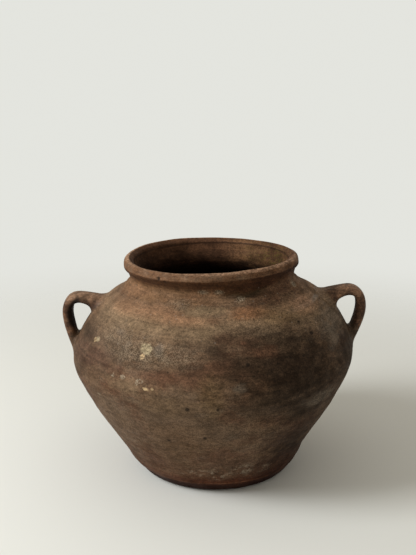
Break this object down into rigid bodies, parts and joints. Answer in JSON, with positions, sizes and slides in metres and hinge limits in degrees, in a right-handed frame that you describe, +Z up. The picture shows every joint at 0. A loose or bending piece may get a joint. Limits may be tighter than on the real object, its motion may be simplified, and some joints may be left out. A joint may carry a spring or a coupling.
{
  "type": "two-handled urn",
  "caption": "Wide-bellied unglazed terracotta urn with a flat foot, short neck, rolled lip and small strap handles on the shoulder, for storing dry goods or holding plants.",
  "frame": {"origin": "centre of the flat standing face under the foot", "axes": "+X towards the right handle as the picture shows it, -Y towards the viewer, +Z up"},
  "size_m": [0.3437, 0.32, 0.2511],
  "materials": {
    "wall_clay": "unglazed terracotta under a grey-brown, sooted and worn crust",
    "rim_clay": "unglazed red-brown terracotta, rubbed smooth on the lip",
    "foot_clay": "bare red terracotta, scuffed along the standing edge",
    "handle_clay": "unglazed brown terracotta, smoothed by hand and darkened by handling",
    "coil_clay": "finger-smeared terracotta, dusty and dark"
  },
  "bodies": {
    "root": {"base_disc": "foot_clay", "base_seam_coil": "coil_clay", "lower_wall": "wall_clay", "belly_seam_coil": "coil_clay", "upper_wall": "wall_clay", "neck_collar": "wall_clay", "rim_roll": "rim_clay", "left_handle": "handle_clay", "left_upper_wad": "handle_clay", "left_lower_wad": "handle_clay", "right_handle": "handle_clay", "right_upper_wad": "handle_clay", "right_lower_wad": "handle_clay"}
  },
  "joints": []
}
